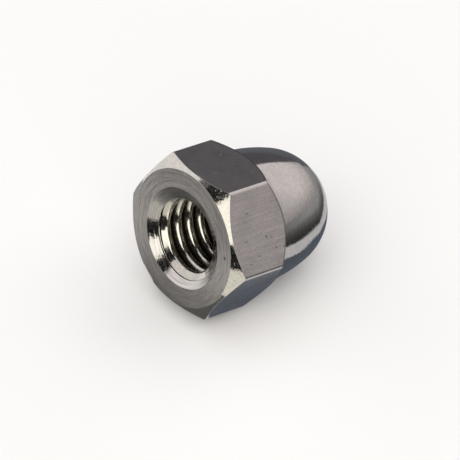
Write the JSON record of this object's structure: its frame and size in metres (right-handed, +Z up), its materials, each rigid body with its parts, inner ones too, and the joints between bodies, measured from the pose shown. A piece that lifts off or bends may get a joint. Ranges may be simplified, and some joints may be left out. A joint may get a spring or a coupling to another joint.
{
  "type": "cap nut",
  "caption": "Domed cap nut: a hexagon with a chamfered bearing face, a blind threaded hole and a closed round end that covers the bolt's tip.",
  "frame": {"origin": "on the surface the nut lies on, under the middle of its overall box", "axes": "+Z up from that surface; the mouth of the hole faces -Y and the dome +Y, with the thread's axis dipping about 12.9 degrees towards the dome; +X across the flats' corners, to the right as seen from the mouth"},
  "size_m": [0.0114, 0.0126, 0.0108],
  "materials": {
    "nut_steel": "bright steel: turned rings on the bearing face, fine lines along the flats and round the dome, and a polished thread"
  },
  "bodies": {
    "root": {"cap_nut": "nut_steel"}
  },
  "joints": []
}
